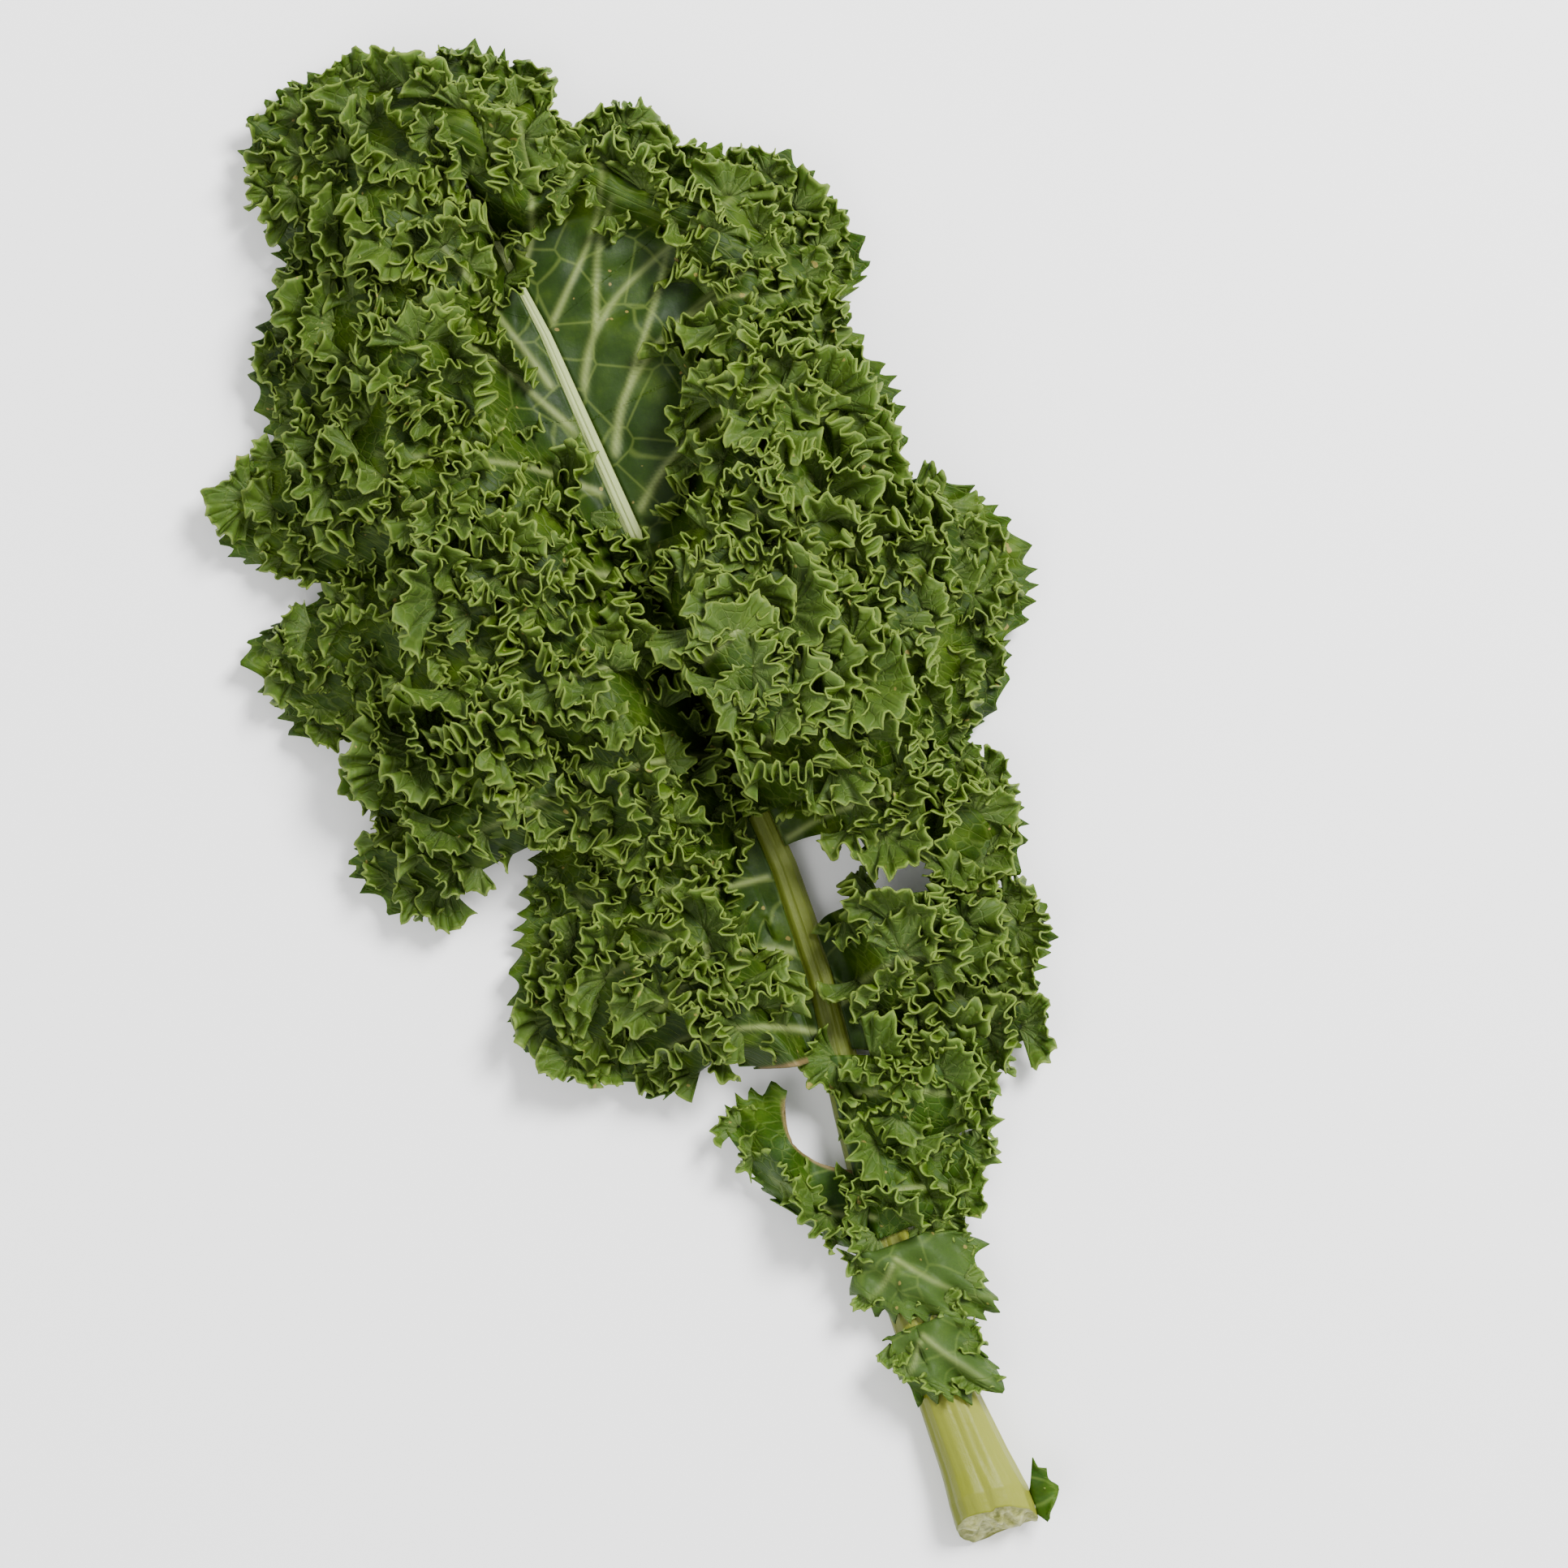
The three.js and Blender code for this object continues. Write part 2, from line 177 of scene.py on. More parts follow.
# Lateral veins: width where one leaves the rib, and its course over the blade.
VEINS = [
    (1.2, [(-3, 262), (2, 268), (6, 277), (8, 292)]),
    (1.3, [(-1, 250), (8, 259), (16, 268), (22, 280)]),
    (1.5, [(1, 236), (8, 247), (20, 255), (42, 262)]),
    (0.7, [(8, 247), (14, 262), (20, 270)]),
    (1.5, [(3, 223), (10, 234), (24, 243), (48, 250)]),
    (0.7, [(10, 234), (22, 250), (30, 262)]),
    (1.4, [(4, 211), (13, 218), (24, 222), (46, 224)]),
    (0.6, [(24, 243), (34, 244), (44, 240)]),
    (1.2, [(4, 196), (18, 200), (40, 205)]),
    (1.3, [(5, 178), (22, 184), (50, 190)]),
    (1.2, [(7, 158), (24, 162), (46, 160)]),
    (1.2, [(8, 140), (22, 142), (40, 138)]),
    (1.3, [(8, 106), (20, 110), (40, 108)]),
    (0.7, [(20, 110), (30, 100), (42, 94)]),
    (1.0, [(5, 88), (14, 86), (28, 79)]),
    (0.9, [(4, 68), (12, 66), (20, 62)]),
    (1.3, [(-4, 240), (-7, 250), (-11, 262), (-16, 276)]),
    (1.3, [(-2, 229), (-7, 238), (-14, 250), (-30, 262)]),
    (1.4, [(-1, 216), (-14, 226), (-40, 238)]),
    (1.4, [(0, 198), (-16, 204), (-50, 208)]),
    (1.3, [(2, 180), (-18, 184), (-46, 182)]),
    (1.3, [(4, 160), (-18, 164), (-50, 162)]),
    (1.1, [(5, 134), (-8, 136), (-24, 142)]),
    (1.6, [(4, 118), (-12, 125), (-28, 128), (-46, 124)]),
    (0.8, [(-12, 125), (-24, 134), (-34, 144)]),
    (0.8, [(-12, 125), (-24, 118), (-38, 114)]),
    (1.3, [(2, 102), (-10, 108), (-24, 110), (-34, 104)]),
    (1.0, [(0, 64), (-8, 68), (-16, 78)]),
    (1.0, [(1, 55), (5, 50), (11, 44), (17, 41)]),
    (0.7, [(0, 54), (-3, 51), (-7, 49)]),
    (0.8, [(1, 39), (4, 34), (7, 30), (10, 26)]),
    (0.6, [(0, 38), (-3, 34), (-7, 31)]),
]
VEIN_HALF = 0.42                   # half width of a vein, in millimetres where its width is 1 or less

# Leaflets folded over the stalk: name, foot on the rib and outline.
LEAFLETS = [
    ("upper_leaflet", 57.5, [(-6, 59), (-9, 53), (-7, 47), (-3, 44), (4, 41), (11, 38), (17, 39), (16, 46),
                             (18, 53), (10, 58)]),
    ("lower_leaflet", 41.0, [(-6, 41), (-6, 34), (-4.5, 27), (0, 26), (6, 24), (13, 25), (11, 32), (11, 38),
                             (7, 42)]),
]
LEAFLET_FOOT = 6.0                 # width of a leaflet's foot
LEAFLET_FAN_PITCH = 8.5
LEAFLET_BLISTER_LENGTH = 4
LEAFLET_SEED = 21
EAR_OUTLINE = [(12.9, 8.4), (15.0, 4.6), (15.2, -0.2), (11.4, -4.0)]
EAR_FOOT = (2.4, -2.2)             # from here to here along the stalk
EAR_HEIGHT = 6.5

# Lobes with a dried torn edge: its side of the lobe, and the share by it that has no fans.
TORN = {"left_torn_lobe": (1.0, 0.3), "left_broad_lobe": (0.0, 0.1)}
# Lobes that grow over the rib, and those whose upper edge crosses it with fans along that edge.
OVER_RIB = ("right_middle_lobe", "right_small_lobe", "right_yellow_lobe", "right_first_lobe")
CROSSING = ("right_middle_lobe", "right_yellow_lobe")
CROSSING_FANS = (0.06, 0.26, 0.46)     # shares out along the lobe
CLUMP = (8, 176, 10, 7)            # a clump of frills leaning over the rib: x, y, spread, rise
YOUNG = ("right_yellow_lobe", "right_first_lobe", "upper_leaflet", "lower_leaflet", "basal_ear",
         "left_torn_lobe")

# ---- colours ----
GROWN_COLOURS = {"deep": (0.007, 0.021, 0.001), "mid": (0.018, 0.043, 0.001),
                 "bright": (0.050, 0.092, 0.003), "rim": (0.165, 0.222, 0.042)}
YOUNG_COLOURS = {"deep": (0.010, 0.033, 0.001), "mid": (0.020, 0.053, 0.001),
                 "bright": (0.045, 0.088, 0.002), "rim": (0.16, 0.23, 0.040)}
VEIN_COLOUR = (0.21, 0.26, 0.085)
UNDERSIDE_COLOUR = (0.06, 0.10, 0.02)
SPOT_COLOUR = (0.30, 0.22, 0.06)
DRY_COLOUR = (0.19, 0.13, 0.055)
# Painted light on the stalk: the dark colour below is its painted shaded left side, the light one its
# painted lit right side, the middle one between.
STALK_PAINTED_SHADE = (0.085, 0.10, 0.005)
STALK_MID = (0.145, 0.16, 0.008)
STALK_PAINTED_LIGHT = (0.22, 0.235, 0.025)
STREAK_COLOUR = (0.12, 0.145, 0.006)
# Rib among the lobes: greener there, and darker as painted shade of the frills over it.
LEAFY_RIB_GREEN_AND_SHADE = (0.085, 0.115, 0.012)
UPPER_RIB_DARK = (0.26, 0.33, 0.11)
UPPER_RIB_LIGHT = (0.38, 0.44, 0.18)
PITH_DARK = (0.10, 0.11, 0.015)
PITH_MID = (0.27, 0.28, 0.08)
PITH_LIGHT = (0.44, 0.45, 0.20)

# ---- stage, in metres ----
FLOOR_SIZE = 8.0
FLOOR_DROP = 0.0002                # the floor lies this far under the leaf
FLOOR_GREY = 0.95
LIGHTS = [("key", (0.75, 0.35, 1.1), 0.45, 44.0), ("fill", (-0.8, -0.3, 1.2), 1.0, 10.0)]
CAMERA_AIM = (12.4, 150.5, 10.0)   # in the leaf drawing
CAMERA_LEAN = 20.0                 # degrees that the leaf leans to the left of upright
CAMERA_DISTANCE = 1.3
CAMERA_VIEW = 0.3091               # width of the view at the aim
SENSOR = 36


# ---- small helpers ----
def ease(t):
    """0 below 0, 1 above 1, smooth between."""
    t = np.clip(t, 0.0, 1.0)
    return t * t * (3 - 2 * t)


def along_rib(y, column):
    rib = np.array(RIB, float)
    return np.interp(y, rib[:, 1], rib[:, column])


def rib_x(y):
    return along_rib(y, 0)


def rib_half(y):
    return along_rib(y, 2)


def rib_floor(y):
    return RIB_RISE * ease((np.asarray(y, float) - RIB_RISES_FROM) / 246)


def rib_top(y):
    return rib_floor(y) + RIB_HEIGHT * rib_half(y)


def spline(points, count):
    """Smooth curve through the points, as evenly spaced points."""
    p = np.array(points, float)
    e = np.vstack([2 * p[0] - p[1], p, 2 * p[-1] - p[-2]])
    t = np.linspace(0, 1, 24, endpoint=False)[:, None]
    runs = []
    for i in range(1, len(e) - 2):
        a, b, c, d = e[i - 1], e[i], e[i + 1], e[i + 2]
        runs.append(0.5 * (2 * b + (c - a) * t + (2 * a - 5 * b + 4 * c - d) * t ** 2
                           + (3 * b - 3 * c + d - a) * t ** 3))
    return respace(np.vstack(runs + [p[-1:]]), count)


def lengths(path):
    return np.r_[0, np.cumsum(np.linalg.norm(np.diff(path, axis=0), axis=1))]


def respace(path, count):
    s = lengths(path)
    u = np.linspace(0, s[-1], count)
    return np.stack([np.interp(u, s, path[:, k]) for k in range(path.shape[1])], -1)


def noise_field(rng, wave, size=64):
    """A smooth random function of the place on the leaf, about -1 to 1."""
    values = rng.uniform(-1, 1, (size, size))

    def at(x, y):
        fx = (np.asarray(x, float) / wave) % (size - 1)
        fy = (np.asarray(y, float) / wave) % (size - 1)
        ix = np.minimum(fx.astype(int), size - 2)
        iy = np.minimum(fy.astype(int), size - 2)
        tx = ease(fx - ix)
        ty = ease(fy - iy)
        low = values[ix, iy] * (1 - tx) + values[ix + 1, iy] * tx
        high = values[ix, iy + 1] * (1 - tx) + values[ix + 1, iy + 1] * tx
        return low * (1 - ty) + high * ty
    return at


# ---- plan of a lobe ----
class Plan:
    """Fan of curved rays from the foot on the rib to the outline."""

    def __init__(self, foot, outline, waist=None):
        self.foot = foot
        self.edge = spline(outline, 200)
        self.length = lengths(self.edge)[-1]
        ends = foot(np.array([0.0, 1.0]))
        middle = (ends + self.edge[[0, -1]]) / 2
        self.waist = np.array(waist, float) if waist else middle

    def at(self, u, v):
        """Points at shares u across the lobe and v out along it."""
        u = np.asarray(u, float)
        v = np.asarray(v, float)[..., None]
        grid = np.linspace(0, 1, len(self.edge))
        rim = np.stack([np.interp(u, grid, self.edge[:, k]) for k in (0, 1)], -1)
        mid = self.waist[0] + (self.waist[1] - self.waist[0]) * u[..., None]
        return (1 - v) ** 2 * self.foot(u) + 2 * v * (1 - v) * mid + v * v * rim

    def reach(self):
        """Distance from the middle of the foot to the middle of the outline."""
        return np.linalg.norm(self.at(0.5, 1.0) - self.at(0.5, 0.0))


def foot_on_rib(side, y0, y1, reach):
    """Foot along the rib; reach is its place across the rib, in half widths."""
    def foot(u):
        y = y0 + (y1 - y0) * np.asarray(u, float)
        return np.stack([rib_x(y) + side * rib_half(y) * reach, y], -1)
    return foot


class Lobe:
    """Where one lobe grows: its plan, where its frills start, its height and its puckers."""

    def __init__(self, name, plan, inner, ground, hump, blister):
        self.name = name
        self.plan = plan
        self.inner = inner
        self.ground = ground
        self.hump = hump
        self.blister = blister


# ---- fans ----
def fan_feet(plans, inners, rng):
    """Places of the fans over all lobes: lobe, share across it and share out along it."""
    areas = np.array([plan.length * plan.reach() for plan in plans])
    lobes = rng.choice(len(plans), FAN_TRIES, p=areas / areas.sum())
    across = rng.uniform(0.02, 0.98, FAN_TRIES)
    outward = rng.uniform(0, 1, FAN_TRIES) ** 0.65
    taken = []
    places = np.empty((0, 2))
    for lobe, t, w in zip(lobes, across, outward):
        inner = inners[lobe](t)
        v = max(inner + (OUTERMOST - inner) * w, 0.0)
        p = plans[lobe].at(t, v)
        if len(places) and ((places - p) ** 2).sum(1).min() < FAN_SPACING ** 2:
            continue
        places = np.vstack([places, p])
        taken.append((lobe, t, v))
    return taken


class Fans:
    """Ruffled fans, one to each foot. Arrays run over the fans, across a fan and out along it."""

    def __init__(self, feet, outward, shares, swell, rng, style):
        self.count = len(feet)
        self.one = (self.count, 1, 1)
        self.feet = feet.reshape(self.count, 1, 1, 3)
        self.shares = shares.reshape(self.one)
        self.rng = rng
        self.style = style
        self.radius = self.choose_radius(swell.reshape(self.one))
        self.spread = np.radians(self.draw(*FAN_SPREAD))
        self.heading = self.choose_heading(outward)
        inside = 1 - ease((self.shares - 0.6) / 0.38)
        self.tilt = np.radians(self.draw(*FAN_TILT) + inside * self.draw(*INNER_TILT)) * style["tilt"]
        self.roll = np.radians(rng.normal(0, FAN_ROLL, self.one))
        self.theta = np.linspace(-1, 1, FAN_COLUMNS).reshape(1, -1, 1) * self.spread
        self.rho = (0.1 + 0.9 * np.linspace(0, 1, FAN_ROWS) ** 0.85).reshape(1, 1, -1)

    def draw(self, low, high):
        """A random number for each fan."""
        return self.rng.uniform(low, high, self.one)

    def bumps(self, count, size):
        """Smooth random numbers along each fan, count of them to a fan."""
        values = self.rng.uniform(-1, 1, (self.count, count + 4))
        x = np.linspace(0, count, FAN_COLUMNS)
        i = np.minimum(x.astype(int), count)
        t = ease(x - i)
        return size * (values[:, i] * (1 - t) + values[:, i + 1] * t)[..., None]

    def choose_radius(self, swell):
        """Larger on the humps, a few larger still, and smaller by the outline."""
        radius = self.draw(*FAN_RADIUS) * self.style["fan"] * (1 + 0.3 * swell)
        radius = radius * np.where(self.draw(0, 1) < 0.1, 1.35, 1.0)
        return radius * (1 - 0.2 * ease((self.shares - 0.75) / 0.15))

    def choose_heading(self, outward):
        """Out along the lobe, straying more away from the outline; most by the rib turn to it."""
        loose = 1 - ease((self.shares - 0.55) / 0.4)
        stray = np.radians(self.rng.normal(0, 1, self.one) * (28 + 60 * loose))
        inward = (self.shares < 0.16) & (self.draw(0, 1) < 0.75)
        straight = np.arctan2(outward[:, 1], outward[:, 0]).reshape(self.one)
        return straight + np.where(inward, math.pi + 0.5 * stray, stray)

    def ruffle(self):
        """Each fan out along itself, across itself, and its sway square to both."""
        rho = self.rho
        rim = self.theta * self.radius
        phase = 2 * math.pi * (rim / WAVE_LENGTH + self.bumps(6, 0.5) + self.draw(0, 1))
        phase = phase + 0.5 * (1 - rho)
        crinkle = 2 * math.pi * (rim / CRINKLE_LENGTH + self.bumps(11, 0.35))
        point = 1 - np.abs(np.sin(math.pi * (rim / TOOTH_LENGTH + self.bumps(8, 0.5))))
        reach = self.radius * rho * (1 + self.bumps(4, 0.28) * rho ** 2)
        tooth = point ** 1.4 * (1 + self.bumps(8, 0.7)) - 0.35
        reach = reach + self.style["tooth"] * TOOTH_SIZE * tooth * rho ** 4
        wave = self.style["wave"]
        swell = WAVE_SIZE * wave * self.draw(0.6, 1.15) * (1 + self.bumps(6, 0.5))
        sway = swell * np.sin(phase) * (0.07 * rho + 0.93 * rho ** 3.2)
        sway = sway + CRINKLE_SIZE * wave * (1 + self.bumps(7, 0.6)) * np.sin(crinkle) * rho ** 5
        sway = sway + self.draw(-0.25, 0.65) * self.radius * 0.6 * rho ** 2
        sway = sway + self.draw(-0.5, 1.6) * rho ** 6
        turn = self.theta - 0.15 * swell * np.sin(2 * phase) * rho ** 2 / self.radius
        return reach * np.cos(turn), reach * np.sin(turn), sway

    def axes(self):
        """The fans' own directions: out and up, sideways, and square to both."""
        level = np.cos(self.tilt)
        out = np.concatenate([np.cos(self.heading) * level, np.sin(self.heading) * level,
                              np.sin(self.tilt)], -1)
        side = np.concatenate([-np.sin(self.heading), np.cos(self.heading), np.zeros(self.one)], -1)
        face = np.cross(out, side)
        rolled_side = side * np.cos(self.roll) + face * np.sin(self.roll)
        rolled_face = face * np.cos(self.roll) - side * np.sin(self.roll)
        return out, rolled_side, rolled_face

    def grid(self):
        """Points of the fans, laid back where they would stand too high."""
        along, across, sway = self.ruffle()
        out, side, face = self.axes()
        grid = (self.feet + along[..., None] * out[:, None] + across[..., None] * side[:, None]
                + sway[..., None] * face[:, None])
        over = np.maximum(grid[..., 2] - HIGHEST, 0)
        grid[..., 2] = np.maximum(grid[..., 2] - 0.6 * over, LOWEST + 0.5 * self.rho ** 4)
        return grid

    def fields(self, shape):
        """Values over the fans for their material; depth is the distance in from the rim."""
        depth = np.broadcast_to(self.radius * (1 - self.rho), shape)
        none = 0 * depth
        along = self.theta * self.radius + np.arange(self.count).reshape(self.one) * 41.0 + none
        turn = (self.theta + self.bumps(4, 0.10) * self.rho) / FAN_VEIN_ANGLE
        aside = np.abs((turn + 0.5) % 1 - 0.5) * FAN_VEIN_ANGLE * self.radius * self.rho
        vein = np.exp(-(aside / (0.10 + 0.22 * (1 - self.rho))) ** 2) * (1 - self.rho) ** 0.6
        return {"depth": depth, "along": along, "vein": 0.4 * vein, "lamina": none, "dry": none}


# ---- blade ----
def normals(grid):
    """Unit normals of grids of points, which may be stacked."""
    n = np.cross(np.gradient(grid, axis=-3), np.gradient(grid, axis=-2))
    return n / np.maximum(np.linalg.norm(n, axis=-1, keepdims=True), 1e-9)


def blade_grid(lobe):
    """The blade of one lobe between its foot and its outline, and the shares on it."""
    plan = lobe.plan
    wide = max(6, int(plan.length / BLADE_PITCH))
    deep = max(6, int(plan.reach() / BLADE_PITCH))
    t, v = np.meshgrid(np.linspace(-SEAM_OVERLAP, 1 + SEAM_OVERLAP, wide), np.linspace(0, 1, deep),
                       indexing="ij")
    flat = plan.at(t, v)
    place = t * plan.length
    point = 1 - np.abs(np.sin(math.pi * (place / NOTCH_LENGTH + 0.35 * np.sin(place / 3.1))))
    out = plan.at(t, 1 + 0 * v) - plan.at(t, 0.9 + 0 * v)
    out = out / np.linalg.norm(out, axis=-1, keepdims=True)
    size = min(NOTCH_SIZE, NOTCH_SHARE * plan.length)
    flat = flat + out * ((point - 0.5) * size * v ** 12)[..., None]
    z = lobe.ground(flat[..., 0], flat[..., 1], v, lobe.inner(t))
    z = z + EDGE_RIPPLE * np.sin(place / RIPPLE_RATE) * v ** 8
    return np.concatenate([flat, np.maximum(z, LOWEST)[..., None]], -1), flat, t, v


def vein_field(flat):
    """Closeness to the lateral veins, 1 on a vein and 0 away from it."""
    x = flat[..., 0]
    y = flat[..., 1]
    best = np.zeros_like(x)
    for width, course in VEINS:
        line = spline(course, 30)
        dist = np.full(x.shape, 1e9)
        which = np.zeros(x.shape)
        for k in range(len(line) - 1):
            run = line[k + 1] - line[k]
            u = np.clip(((x - line[k, 0]) * run[0] + (y - line[k, 1]) * run[1]) / (run @ run), 0, 1)
            here = (x - line[k, 0] - u * run[0]) ** 2 + (y - line[k, 1] - u * run[1]) ** 2
            which = np.where(here < dist, (k + u) / (len(line) - 1), which)
            dist = np.minimum(dist, here)
        half = np.maximum(VEIN_HALF * width * (1 - 0.8 * which), VEIN_HALF)
        best = np.maximum(best, (1 - 0.65 * which) * np.exp(-dist / (2 * half ** 2)))
    return best


# ---- meshes ----
def to_world(points):
    """Leaf drawing in millimetres to the part's frame in metres."""
    lo = np.array(CAD_BOUNDS[0], float)
    hi = np.array(CAD_BOUNDS[1], float)
    centre = (lo + hi) / 2
    scale = (hi - lo)[:2] / np.array(DRAWN_SIZE)
    out = np.empty_like(points)
    out[..., 0] = centre[0] + (points[..., 0] - DRAWN_CENTRE[0]) * scale[0]
    out[..., 1] = centre[1] + (points[..., 1] - DRAWN_CENTRE[1]) * scale[1]
    out[..., 2] = lo[2] + points[..., 2] * 0.001
    return out


def placed(name, mesh, node_name, material):
    """The mesh as a piece of the leaf that shows in place of a CAD node."""
    piece = bpy.data.objects.new(name, mesh)
    bpy.context.scene.collection.objects.link(piece)
    piece.data.materials.append(material)
    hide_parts(node_name)
    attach(piece, "root")
    return piece


def write_fields(mesh, fields):
    for key, values in fields.items():
        data = np.asarray(values, np.float32).reshape(-1)
        mesh.attributes.new(key, "FLOAT", "POINT").data.foreach_set("value", data)


class Shell:
    """Closed sheets gathered into one mesh, each with its fields and its place in the map."""

    def __init__(self):
        self.points = []
        self.faces = []
        self.maps = []
        self.fields = []
        self.count = 0

    def add(self, grids, thickness, fields, room):
        """Sheets round stacked grids of points; room is their rectangle of the map."""
        n, columns, rows = grids.shape[:3]
        size = columns * rows
        lift = normals(grids) * (np.broadcast_to(thickness, grids.shape[:3]) / 2)[..., None]
        self.points.append(np.stack([grids + lift, grids - lift], 1).reshape(-1, 3))
        faces, wall = self.sheet(columns, rows)
        offset = self.count + np.arange(n).reshape(-1, 1, 1) * 2 * size
        self.faces.append((faces[None] + offset).reshape(-1, 4))
        self.count += n * 2 * size
        both = {}
        for key, field in fields.items():
            both[key] = np.repeat(np.broadcast_to(field, grids.shape[:3])[:, None], 2, 1).reshape(-1)
        both["under"] = np.tile(np.repeat([0.0, 1.0], size), n)
        self.fields.append(both)
        self.maps.append(self.cells(faces, n, columns, rows, wall, room))

    @staticmethod
    def sheet(columns, rows):
        """Faces of one sheet, top, bottom and edge, and how many are on the edge."""
        size = columns * rows
        at = np.arange(size).reshape(columns, rows)
        a, b, c, d = at[:-1, :-1], at[1:, :-1], at[1:, 1:], at[:-1, 1:]
        top = np.stack([a, b, c, d], -1).reshape(-1, 4)
        low = np.stack([a, d, c, b], -1).reshape(-1, 4) + size
        ring = np.r_[at[:, 0], at[-1, 1:], at[-2::-1, -1], at[0, -2:0:-1]]
        after = np.roll(ring, -1)
        wall = np.stack([after, ring, ring + size, after + size], -1)
        return np.concatenate([top, low, wall]), len(wall)

    @staticmethod
    def cells(faces, n, columns, rows, walls, room):
        """Map corners: one cell to a sheet, its two faces side by side and its edge below."""
        size = columns * rows
        k = faces % size
        u = 0.03 + 0.44 * (k // rows) / (columns - 1) + 0.5 * (faces >= size)
        v = 0.12 + 0.85 * (k % rows) / (rows - 1)
        step = np.arange(walls)
        u[-walls:] = 0.03 + 0.94 * np.stack([step + 1, step, step, step + 1], -1) / walls
        v[-walls:] = np.array([0.07, 0.07, 0.03, 0.03])
        across = max(1, int(math.ceil(math.sqrt(n / 2))))
        up = int(math.ceil(n / across))
        cell = np.arange(n).reshape(-1, 1, 1)
        x0, y0, x1, y1 = room
        left = x0 + (x1 - x0) * (cell % across + u[None]) / across
        low = y0 + (y1 - y0) * (cell // across + v[None]) / up
        return np.stack([left, low], -1).reshape(-1, 4, 2)

    def mesh(self, name):
        points = to_world(np.concatenate(self.points))
        faces = np.concatenate(self.faces)
        mesh = bpy.data.meshes.new(name)
        mesh.vertices.add(len(points))
        mesh.vertices.foreach_set("co", points.astype(np.float32).ravel())
        mesh.loops.add(faces.size)
        mesh.loops.foreach_set("vertex_index", faces.astype(np.int32).ravel())
        mesh.polygons.add(len(faces))
        mesh.polygons.foreach_set("loop_start", np.arange(0, faces.size, 4, dtype=np.int32))
        mesh.polygons.foreach_set("use_smooth", np.ones(len(faces), dtype=bool))
        mesh.update(calc_edges=True)
        write_fields(mesh, {key: np.concatenate([fields[key] for fields in self.fields])
                            for key in self.fields[0]})
        layer = mesh.uv_layers.new(name="OFBake")
        layer.data.foreach_set("uv", np.concatenate(self.maps).astype(np.float32).ravel())
        mesh.validate()
        return mesh


# ---- materials ----
def node(tree, kind, **sockets):
    made = tree.nodes.new(kind)
    for key, value in sockets.items():
        made.inputs[key].default_value = value
    return made


def link(tree, source, target):
    tree.links.new(source, target)


def connect(tree, value, socket):
    """Feeds a socket from another node's output, or sets it to a number or a colour."""
    if hasattr(value, "is_output"):
        link(tree, value, socket)
    elif isinstance(value, tuple):
        socket.default_value = (*value, 1.0)
    else:
        socket.default_value = value


def ramp(tree, source, stops):
    made = tree.nodes.new("ShaderNodeValToRGB")
    link(tree, source, made.inputs["Fac"])
    elements = made.color_ramp.elements
    while len(elements) < len(stops):
        elements.new(0.5)
    for element, (place, colour) in zip(elements, stops):
        element.position = place
        element.color = (*colour, 1.0)
    return made.outputs["Color"]


def mix_colour(tree, factor, first, second):
    made = tree.nodes.new("ShaderNodeMix")
    made.data_type = "RGBA"
    for value, socket in ((factor, made.inputs[0]), (first, made.inputs[6]), (second, made.inputs[7])):
        connect(tree, value, socket)
    return made.outputs[2]


def maths(tree, operation, first, second, clamp=False):
    made = tree.nodes.new("ShaderNodeMath")
    made.operation = operation
    made.use_clamp = clamp
    connect(tree, first, made.inputs[0])
    connect(tree, second, made.inputs[1])
    return made.outputs[0]


def times(tree, first, second, clamp=False):
    return maths(tree, "MULTIPLY", first, second, clamp)


def attribute(tree, name):
    made = tree.nodes.new("ShaderNodeAttribute")
    made.attribute_name = name
    return made.outputs["Fac"]


def object_place(tree):
    return node(tree, "ShaderNodeTexCoord").outputs["Object"]


def noise(tree, place, scale, detail, roughness=0.5):
    made = node(tree, "ShaderNodeTexNoise", Scale=scale, Detail=detail, Roughness=roughness)
    link(tree, place, made.inputs["Vector"])
    return made.outputs["Fac"]


def band(tree, value, low, high):
    """1 below low, 0 above high, smooth between."""
    made = tree.nodes.new("ShaderNodeMapRange")
    made.interpolation_type = "SMOOTHSTEP"
    link(tree, value, made.inputs["Value"])
    made.inputs["From Min"].default_value = low
    made.inputs["From Max"].default_value = high
    made.inputs["To Min"].default_value = 1.0
    made.inputs["To Max"].default_value = 0.0
    return made.outputs["Result"]


def net_lines(tree, place, scale, width):
    """1 on the lines between the cells of a net, 0 away from them."""
    cells = node(tree, "ShaderNodeTexVoronoi", Scale=scale)
    cells.feature = "DISTANCE_TO_EDGE"
    link(tree, place, cells.inputs["Vector"])
    return band(tree, cells.outputs["Distance"], 0.0, width)


def new_material(name):
    material = bpy.data.materials.new(name)
    material.use_nodes = True
    return material, material.node_tree, material.node_tree.nodes["Principled BSDF"]


def vary_roughness(tree, shader, source, low, high):
    rough = node(tree, "ShaderNodeMapRange")
    link(tree, source, rough.inputs["Value"])
    rough.inputs["To Min"].default_value = low
    rough.inputs["To Max"].default_value = high
    link(tree, rough.outputs["Result"], shader.inputs["Roughness"])


def raise_bumps(tree, shader, height, strength, distance):
    bump = node(tree, "ShaderNodeBump", Strength=strength, Distance=distance)
    link(tree, height, bump.inputs["Height"])
    link(tree, bump.outputs["Normal"], shader.inputs["Normal"])


def blade_nets(tree, place, texture, lamina):
    """Nets of small veins: coarse and fine ones on the fans, and one on the bare blade."""
    frilled = maths(tree, "SUBTRACT", 1.0, lamina)
    coarse = times(tree, net_lines(tree, place, 0.42, 0.11), frilled)
    fine = times(tree, net_lines(tree, place, 1.3, 0.10), frilled)
    bare = times(tree, net_lines(tree, texture, 105.0, 0.045), lamina)
    return coarse, fine, bare


